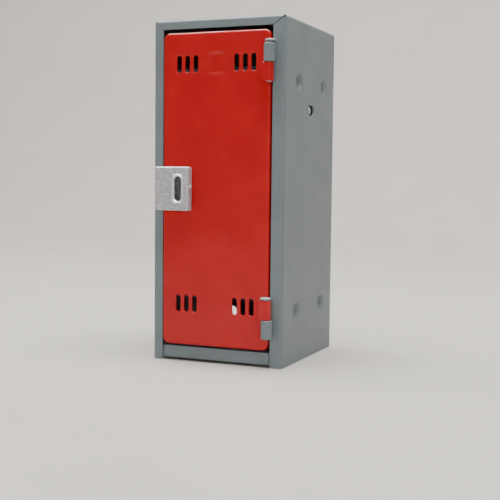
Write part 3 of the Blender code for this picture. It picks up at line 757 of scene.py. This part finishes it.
def kick_bar(front, top):
    """The bar between the side flanges, with round corners and soft front edges."""
    left, right = FLANGE_LEFT - WIDTH / 2 + KICK_LEFT_GAP, WIDTH / 2 - FLANGE_RIGHT - KICK_RIGHT_GAP
    levels = [(KICK_THICKNESS, 0)]
    for i in range(4):
        turn = QUARTER * i / 3
        levels.append((KICK_EDGE * (1 - math.sin(turn)), KICK_EDGE * (1 - math.cos(turn))))
    rings = []
    for back, inset in levels:
        bottom = KICK_BOTTOM + inset
        outline = rounded_outline(left + inset, right - inset, bottom, top - inset, KICK_CORNER - inset)
        rings.append([(x, front + back, z) for x, z in outline])
    bm = bmesh.new()
    add_rings(bm, rings)
    return closed("kick_bar", bm)


def build_floor():
    """The floor tray, and the kick bar at its front edge."""
    low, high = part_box("floor_pan")
    tray = build_tray("floor_tray", Vector((low.x, FRONT + TRAY_SETBACK, low.z)), high)
    combine(tray, kick_bar(low.y, high.z - KICK_TOP_GAP), "UNION")
    finish_piece(tray, "cabinet", GREY, ["floor_pan"])


def build_rod():
    """The rod, with an eased end and a formed collar inside each wall."""
    low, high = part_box("hanger_rod")
    centre = (low + high) / 2
    half = (high.x - low.x) / 2
    collar, edge = (high.z - low.z) / 2, ROD_COLLAR_EDGE
    wall = WIDTH / 2 - SHEET - ROD_PLAY
    end = [(1e-6, half), (0.55 * MM, half), (ROD_RADIUS - 0.12 * MM, half - 0.03 * MM),
           (ROD_RADIUS - 0.03 * MM, half - 0.1 * MM), (ROD_RADIUS, half - 0.22 * MM)]
    ring = [(ROD_RADIUS, wall), (collar - edge, wall), (collar, wall - edge),
            (collar, wall - ROD_COLLAR + edge), (collar - edge, wall - ROD_COLLAR),
            (ROD_RADIUS, wall - ROD_COLLAR)]
    profile = end + ring
    profile += [(r, -z) for r, z in reversed(profile)]
    bm = bmesh.new()
    lathe(bm, profile, facing((1, 0, 0), centre), 40)
    finish_piece(closed("rod", bm), "cabinet", STEEL, ["hanger_rod"])


# ---- door ----------------------------------------------------------------------------------

def label_relief(u, v):
    """How far the label's recess lies below the door's face."""
    across = smoothstep((LABEL_HALF[0] - abs(u)) / LABEL_SLOPE[0])
    along = smoothstep((LABEL_HALF[1] - abs(v - LABEL_V)) / LABEL_SLOPE[1])
    return LABEL_DEPTH * across * along


def door_punches():
    """The twelve vent slots and the two holes for the pull plate's pegs."""
    holes = bmesh.new()
    for z in VENT_Z:
        for side in (-1, 1):
            for i in (-1, 0, 1):
                centre = (DOOR_MIDDLE + side * VENT_OFFSET + i * SLOT_PITCH, DOOR_FACE, z)
                add_punch(holes, facing((0, -1, 0), centre), SLOT_HALF, SLOT_LIP)
    for x, z in peg_places():
        place = facing((0, -1, 0), (x, DOOR_FACE, z))
        add_punch(holes, place, (PEG_HOLE_RADIUS, PEG_HOLE_RADIUS), 0.04 * MM)
    return closed("door_punches", holes)


def build_door():
    """The stamped door: round corners, a rim, the label's recess, vents and peg holes."""
    half_u, half_v = (DOOR_HIGH.x - DOOR_LOW.x) / 2, (DOOR_HIGH.z - DOOR_LOW.z) / 2
    reach_u, reach_v = LABEL_HALF[0] + 0.2 * MM, LABEL_HALF[1] + 0.2 * MM
    us = pan_lines(half_u, DOOR_CORNER, 1.6 * MM, [(-reach_u, reach_u, LABEL_STEP)])
    vs = pan_lines(half_v, DOOR_CORNER, 1.6 * MM, [(LABEL_V - reach_v, LABEL_V + reach_v, LABEL_STEP)])
    place = facing((0, -1, 0), (DOOR_MIDDLE, DOOR_FACE, DOOR_MIDDLE_Z))
    door = pan("door_skin", us, vs, DOOR_CORNER, DOOR_EDGE, DOOR_RIM, place, label_relief)
    thicken(door)
    settle(door)
    combine(door, door_punches(), "DIFFERENCE")
    finish_piece(door, "door", RED, ["door_panel"])


def peg_places():
    """The centres of the two pegs, from the washers that hold them."""
    found = []
    for node in ("lower_handle_washer", "upper_handle_washer"):
        low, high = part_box(node)
        found.append(((low.x + high.x) / 2, (low.z + high.z) / 2))
    return found


def grip_tool(name, half, lip, start, end):
    """A punch at the grip slot's place."""
    bm = bmesh.new()
    add_punch(bm, facing((0, -1, 0), GRIP), half, lip, start, end)
    return closed(name, bm)


def pegs_and_gate():
    """Two pegs behind the pull plate, and the stub that casting leaves on its right edge."""
    bm = bmesh.new()
    reach = HANDLE_HIGH.y - HANDLE_REAR
    peg = [(PEG_RADIUS, -0.3 * MM), (PEG_RADIUS, reach - 0.1 * MM), (PEG_RADIUS - 0.15 * MM, reach)]
    for x, z in peg_places():
        lathe(bm, peg, facing((0, 1, 0), (x, HANDLE_REAR, z)), 24)
    stub = [(0.6 * MM, -0.3 * MM), (0.52 * MM, 0.3 * MM), (0.3 * MM, 0.5 * MM)]
    place = (HANDLE_HIGH.x - 0.2 * MM, (HANDLE_FACE + HANDLE_REAR) / 2, GRIP.z + 0.35 * MM)
    lathe(bm, stub, facing((1, 0, 0), place), 16)
    return closed("pegs_and_gate", bm)


def build_handle():
    """The cast pull plate: soft edges, a pebbled skin, a rimmed blind slot, a gate stub and two pegs."""
    bm = bmesh.new()
    add_box(bm, (HANDLE_LOW.x, HANDLE_FACE, HANDLE_LOW.z), (HANDLE_HIGH.x, HANDLE_REAR, HANDLE_HIGH.z))
    plate = closed("pull_plate", bm)
    soften(plate, HANDLE_EDGE, 50, 4)
    settle(plate)
    combine(plate, grip_tool("grip_rim", RIM_HALF, 0.02 * MM, RIM_RISE, -0.5 * MM), "UNION")
    combine(plate, grip_tool("grip_slot", GRIP_HALF, GRIP_LIP, 1.0 * MM, -GRIP_DEPTH), "DIFFERENCE")
    combine(plate, pegs_and_gate(), "UNION")
    remesh = plate.modifiers.new("even_mesh", "REMESH")
    remesh.mode = "VOXEL"
    remesh.voxel_size = 0.085 * MM
    smooth = plate.modifiers.new("soft_casting", "SMOOTH")
    smooth.iterations = 4
    settle(plate)
    pebble(plate.data)
    finish_piece(plate, "door", CAST, ["handle"], sharp=180)


def pebble(mesh):
    """Moves a casting's skin in and out by a few hundredths of a millimetre, except behind the plate."""
    normals = [v.normal.copy() for v in mesh.vertices]
    for vert, normal in zip(mesh.vertices, normals):
        if vert.co.y <= HANDLE_REAR - 0.05 * MM:
            coarse = noise.noise(vert.co / (1.1 * MM)) * 0.045 * MM
            fine = noise.noise(vert.co / (0.45 * MM)) * 0.03 * MM
            vert.co += normal * (coarse + fine)


def build_washer(name, node):
    """A push-on washer: a dished ring with four slits that grip the peg."""
    low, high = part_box(node)
    centre = ((low.x + high.x) / 2, low.y, (low.z + high.z) / 2)
    radius = (high.x - low.x) / 2
    bore, thick = 0.66 * MM, high.y - low.y
    soft = 0.06 * MM
    outer = [(bore, thick), (bore + 0.25 * MM, thick * 0.75), (radius - soft, thick * 0.6),
             (radius, thick * 0.5)]
    inner = [(radius, soft), (radius - soft, 0), (bore + 0.25 * MM, thick * 0.1), (bore, thick * 0.6)]
    place = facing((0, 1, 0), centre)
    bm = bmesh.new()
    lathe(bm, outer + inner, place, 40, loop=True)
    washer = closed(name, bm)
    slits = bmesh.new()
    out = Matrix.Translation((bore + 0.1 * MM, 0, 0))
    size = Matrix.Diagonal((0.5 * MM, 0.09 * MM, 4 * thick, 1))
    for i in range(4):
        turn = Matrix.Rotation(QUARTER / 2 + i * QUARTER, 4, "Z")
        bmesh.ops.create_cube(slits, size=1, matrix=place @ turn @ out @ size)
    combine(washer, closed("slits", slits), "DIFFERENCE")
    finish_piece(washer, "door", STEEL, [node])


# ---- hinges --------------------------------------------------------------------------------

def knuckle(name, bottom, top, shoulder):
    """A rolled barrel round the hinge line. shoulder is how far its top end is eased in, and down."""
    ease = 0.2 * MM
    across, down = shoulder
    profile = [(BORE_RADIUS, top)]
    for x, z in arc((0, 0), 1, QUARTER, 0, 6):
        profile.append((KNUCKLE_RADIUS - across + across * x, top - down + down * z))
    for x, z in arc((0, 0), ease, 0, -QUARTER, 3):
        profile.append((KNUCKLE_RADIUS - ease + x, bottom + ease + z))
    profile.append((BORE_RADIUS, bottom))
    bm = bmesh.new()
    lathe(bm, profile, Matrix.Translation((HINGE.x, HINGE.y, 0)), 48, loop=True)
    return closed(name, bm)


def folded_loop(name, low, high):
    """A strip folded over the pin: a flat-fronted loop that reaches over the door, bored for the pin."""
    radius = HINGE.y - low.y
    reach = HINGE.x - radius - low.x
    ease = 0.14 * MM
    levels = [(low.z + ease * (1 - math.cos(t)), ease * (1 - math.sin(t))) for t in (0, 0.5, 1.0, QUARTER)]
    levels += [(high.z + low.z - z, inset) for z, inset in reversed(levels)]
    rings = []
    for z, inset in levels:
        outline = arc((HINGE.x, HINGE.y), radius - inset, -QUARTER, QUARTER, 16)
        outline += arc((HINGE.x - reach, HINGE.y), radius - inset, QUARTER, 3 * QUARTER, 16)
        rings.append([(x, y, z) for x, y in outline])
    bm = bmesh.new()
    add_rings(bm, rings)
    loop = closed(name, bm)
    bore = bmesh.new()
    top = facing((0, 0, 1), (HINGE.x, HINGE.y, high.z))
    add_punch(bore, top, (BORE_RADIUS, BORE_RADIUS), 0.03 * MM, end=low.z - high.z - SHEET)
    combine(loop, closed("pin_bore", bore), "DIFFERENCE")
    return loop


def strip(name, low, high):
    """A flat bar with slightly soft edges."""
    bm = bmesh.new()
    add_box(bm, low, high)
    obj = closed(name, bm)
    soften(obj, 0.04 * MM)
    settle(obj)
    return obj


def seam_blade(bottom, top, angle):
    """The cutter for a shallow groove down a knuckle, where the rolled strip meets itself."""
    bm = bmesh.new()
    place = Matrix.Translation((HINGE.x, HINGE.y, (bottom + top) / 2))
    turn = Matrix.Rotation(angle, 4, "Z")
    out = Matrix.Translation((KNUCKLE_RADIUS, 0, 0))
    size = Matrix.Diagonal((0.16 * MM, 0.07 * MM, top - bottom + SHEET, 1))
    bmesh.ops.create_cube(bm, size=1, matrix=place @ turn @ out @ size)
    return closed("knuckle_seam", bm)


def build_frame_leaf(name, node):
    """A grey leaf: its barrel, the neck behind it and the plate on the cabinet's flange."""
    low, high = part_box(node)
    shoulder = (0.42 * MM, 0.62 * MM) if low.z > HINGE.z else (0.2 * MM, 0.2 * MM)
    leaf = knuckle(name, low.z, high.z, shoulder)
    half = 0.1 * MM
    neck_low = (HINGE.x - half, HINGE.y + NECK_BACK, low.z + NECK_INSET)
    neck_high = (HINGE.x + half, high.y - 0.1 * MM, high.z - NECK_INSET)
    combine(leaf, strip("neck", neck_low, neck_high), "UNION")
    plate_low = (HINGE.x - half / 2, high.y - 0.3 * MM, low.z + 2 * NECK_INSET)
    plate_high = (high.x, high.y, high.z - 2 * NECK_INSET)
    combine(leaf, strip("plate", plate_low, plate_high), "UNION")
    combine(leaf, seam_blade(low.z, high.z, math.radians(62)), "DIFFERENCE")
    finish_piece(leaf, "cabinet", GREY, [node])


def build_door_leaf(name, node):
    """A red leaf: its loop, and the neck down beside the door's rim."""
    low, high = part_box(node)
    leaf = folded_loop(name, low, high)
    start = DOOR_HIGH.x + 0.05 * MM
    neck_low = (start, HINGE.y + NECK_BACK, low.z + NECK_INSET)
    neck_high = (start + 0.2 * MM, high.y, high.z - NECK_INSET)
    combine(leaf, strip("door_neck", neck_low, neck_high), "UNION")
    finish_piece(leaf, "door", RED, [node])


def build_pin(name, node, shift):
    """A pin with a domed head, set a little off its centre."""
    low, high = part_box(node)
    head, thick = (high.x - low.x) / 2, 0.5 * MM
    brim = high.z - thick
    ease = 0.1 * MM
    stem = [(PIN_RADIUS, brim + 0.02 * MM), (PIN_RADIUS, low.z + ease), (PIN_RADIUS - ease, low.z),
            (1e-6, low.z)]
    bow = (0.001, 0.4, 0.75, 1.05, 1.3)
    dome = [(head * math.sin(a), high.z - 0.2 * MM * (1 - math.cos(a))) for a in bow]
    dome += [(head, high.z - thick * 0.45), (head, brim + 0.06 * MM), (head - 0.06 * MM, brim)]
    rings = turned_rings(dome, Matrix.Translation((HINGE.x + shift, HINGE.y, 0)), 40)
    rings += turned_rings(stem, Matrix.Translation((HINGE.x, HINGE.y, 0)), 40)
    bm = bmesh.new()
    add_rings(bm, rings)
    finish_piece(closed(name, bm), "cabinet", STEEL, [node])


# ---- hangers -------------------------------------------------------------------------------

def hanger_outline(half_width, steps):
    """The closed loop of a hanger in (u, v), from its apex at the origin."""
    shoulder = 1.6 * MM
    apex_radius = 0.9 * MM
    centre_u = half_width - WIRE_RADIUS - shoulder
    tangent_u = centre_u + shoulder * math.sin(ARM_SLOPE)
    centre_v = -math.tan(ARM_SLOPE) * tangent_u - shoulder * math.cos(ARM_SLOPE)
    apex_centre = (0, -apex_radius / math.cos(ARM_SLOPE))
    apex = arc(apex_centre, apex_radius, QUARTER, QUARTER - ARM_SLOPE, steps // 3)
    half = apex[1:] + arc((centre_u, centre_v), shoulder, QUARTER - ARM_SLOPE, -QUARTER, steps)
    return [apex[0]] + half + [(-u, v) for u, v in reversed(half)]


def resample(points, count):
    """Evenly spaced points round a closed line, and its length."""
    loop = np.array(points + points[:1])
    lengths = np.linalg.norm(np.diff(loop, axis=0), axis=1)
    along = np.concatenate([[0], np.cumsum(lengths)])
    at = np.linspace(0, along[-1], count, endpoint=False)
    return np.stack([np.interp(at, along, loop[:, k]) for k in range(2)], axis=1), along[-1]


def add_twisted_loop(bm, apex, outline):
    """Two strands wound round each other along the loop."""
    _, length = resample(outline, 8)
    turns = round(length / TWIST_PITCH)
    count = turns * 14
    points, _ = resample(outline, count)
    strand = WIRE_RADIUS * 0.53
    offset = WIRE_RADIUS - strand
    for phase in (0, math.pi):
        path = []
        for i, (u, v) in enumerate(points):
            du, dv = points[(i + 1) % count] - points[i - 1]
            size = math.hypot(du, dv)
            turn = 2 * math.pi * turns * i / count + phase
            sideways = offset * math.sin(turn)
            inward = offset * math.cos(turn)
            path.append(apex + Vector((sideways, u - inward * dv / size, v + inward * du / size)))
        tube(bm, path, strand, (1, 0, 0), 10, loop=True)


def hook_path(rise):
    """The hook's bow, round a centre that is rise above the apex, and its stem down into the neck."""
    bow = arc((0, rise), HOOK_RADIUS, math.radians(186), math.radians(-28), 40)
    stem = ((1.35, 3.05), (0.9, 2.42), (0.5, 1.85), (0.22, 1.42), (0.06, 1.1), (0, 0.8), (0, 0.25))
    return bow + [(u * MM, v * MM) for u, v in stem]


def coil_path(neck, radius, start, end):
    """The neck's winding, from start up to end."""
    steps = 72
    path = []
    for i in range(steps + 1):
        share = i / steps
        turn = 2 * math.pi * COIL_TURNS * share + math.pi * 0.2
        z = start + (end - start) * share
        path.append((neck.x + radius * math.cos(turn), neck.y + radius * math.sin(turn), z))
    return path


def finish_wire(bm, name, body, node):
    finish_piece(closed(name, bm), body, WIRE, [node], sharp=180)


def build_hanger(body):
    """A hanger's twisted loop, its hook and the coil round its neck."""
    frame_low, frame_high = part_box(body + "_frame")
    middle = (frame_low + frame_high) / 2
    apex = Vector((middle.x, middle.y, frame_high.z - WIRE_RADIUS))
    loop = bmesh.new()
    add_twisted_loop(loop, apex, hanger_outline((frame_high.y - frame_low.y) / 2, 30))
    finish_wire(loop, body + "_twisted_loop", body, body + "_frame")
    hook_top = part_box(body + "_hook")[1].z
    rise = hook_top - WIRE_RADIUS - HOOK_RADIUS - apex.z
    hook = bmesh.new()
    tube(hook, [apex + Vector((0, u, v)) for u, v in hook_path(rise)], WIRE_RADIUS, (1, 0, 0), 14, tip=True)
    finish_wire(hook, body + "_bent_hook", body, body + "_hook")
    low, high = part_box(body + "_collar")
    radius = (high.x - low.x) / 2 - COIL_WIRE_RADIUS - 0.05 * MM
    start, end = frame_high.z + 0.6 * COIL_WIRE_RADIUS, high.z - COIL_WIRE_RADIUS
    coil = bmesh.new()
    tube(coil, coil_path(apex, radius, start, end), COIL_WIRE_RADIUS, (0, 0, 1), 12, tip=True)
    finish_wire(coil, body + "_neck_coil", body, body + "_collar")


# ---- stage ---------------------------------------------------------------------------------

def studio_floor():
    """A pale floor that curves up into a backdrop behind the object."""
    radius, run, rise = 0.25, 0.30, 1.1
    profile = [(-1.0, 0), (0, 0), (run, 0)] + arc((run, radius), radius, -QUARTER, 0, 16)[1:]
    profile += [(run + radius, rise)]
    bm = bmesh.new()
    sides = [[bm.verts.new((x, y, z)) for y, z in profile] for x in (-1.5, 1.5)]
    for i in range(len(profile) - 1):
        bm.faces.new((sides[0][i], sides[1][i], sides[1][i + 1], sides[0][i + 1]))
    floor = link("studio_floor", bm)
    floor.data.shade_smooth()
    n = Nodes("studio_pale")
    pale = n.mix(n.span(n.noise(0.03, 2), 0.3, 0.7), (0.468, 0.438, 0.404, 1), (0.488, 0.458, 0.424, 1))
    n.link(pale, n.shader.inputs["Base Color"])
    n.shader.inputs["Roughness"].default_value = 0.8
    n.shader.inputs["Specular IOR Level"].default_value = 0.2
    floor.data.materials.append(n.material)


def area_light(name, place, aim, size, energy, mirrored=False, scattered=True):
    """A soft lamp. Only a mirrored one shows in the paint's gloss; one not scattered shows there alone."""
    data = bpy.data.lights.new(name, "AREA")
    data.shape = "RECTANGLE"
    data.size, data.size_y = size
    data.energy = energy
    lamp = bpy.data.objects.new(name, data)
    bpy.context.scene.collection.objects.link(lamp)
    lamp.location = place
    lamp.visible_glossy = mirrored
    lamp.visible_diffuse = scattered
    lamp.rotation_euler = (Vector(aim) - Vector(place)).to_track_quat("-Z", "Y").to_euler()


def studio_light():
    """Soft lamps: a broad one and a gloss strip overhead, three fills, and one on the backdrop."""
    world = bpy.data.worlds.new("studio")
    bpy.context.scene.world = world
    world.use_nodes = True
    background = world.node_tree.nodes["Background"]
    background.inputs["Color"].default_value = (1.0, 0.98, 0.96, 1)
    background.inputs["Strength"].default_value = 0.05
    middle = (0, 0, 0.04)
    area_light("overhead", (0.02, -0.06, 0.48), (0.02, 0.02, 0), (0.34, 0.24), 3.3, mirrored=True)
    area_light("edge_strip", (0.03, -0.05, 0.46), (0.03, 0.0, 0), (0.6, 0.05), 14.0,
               mirrored=True, scattered=False)
    area_light("right_fill", (0.55, 0.0, 0.16), middle, (0.4, 0.4), 0.15)
    area_light("left_fill", (-0.50, -0.30, 0.30), middle, (0.3, 0.3), 0.85)
    area_light("front_fill", (0.20, -0.50, 0.07), middle, (0.3, 0.3), 1.9)
    area_light("backdrop_fill", (-0.12, 0.10, 0.8), (-0.12, 0.50, 0.2), (1.2, 0.3), 13.0)


def studio_camera():
    data = bpy.data.cameras.new("camera")
    data.sensor_width = 36
    data.lens = CAMERA_LENS
    data.clip_start = 0.005
    data.clip_end = 20
    camera = bpy.data.objects.new("camera", data)
    bpy.context.scene.collection.objects.link(camera)
    camera.location = CAMERA_PLACE
    turn = Matrix.Rotation(CAMERA_YAW, 4, "Z")
    tilt = Matrix.Rotation(QUARTER - CAMERA_PITCH, 4, "X")
    roll = Matrix.Rotation(CAMERA_ROLL, 4, "Z")
    camera.rotation_euler = (turn @ tilt @ roll).to_euler()
    bpy.context.scene.camera = camera


studio_camera()
studio_light()
studio_floor()
build_wrap()
build_back()
build_floor()
build_shelf("upper_shelf", "hat_shelf")
build_shelf("lower_shelf", "shoe_shelf")
build_rod()
build_door()
build_handle()
for end in ("lower", "upper"):
    build_washer(end + "_push_washer", end + "_handle_washer")
    build_frame_leaf(end + "_frame_barrel", end + "_hinge_frame_leaf")
    build_door_leaf(end + "_door_barrel", end + "_hinge_door_leaf")
    build_pin(end + "_headed_pin", end + "_hinge_pin", PIN_SHIFT[end])
build_hanger("hanger")
build_hanger("spare_hanger")
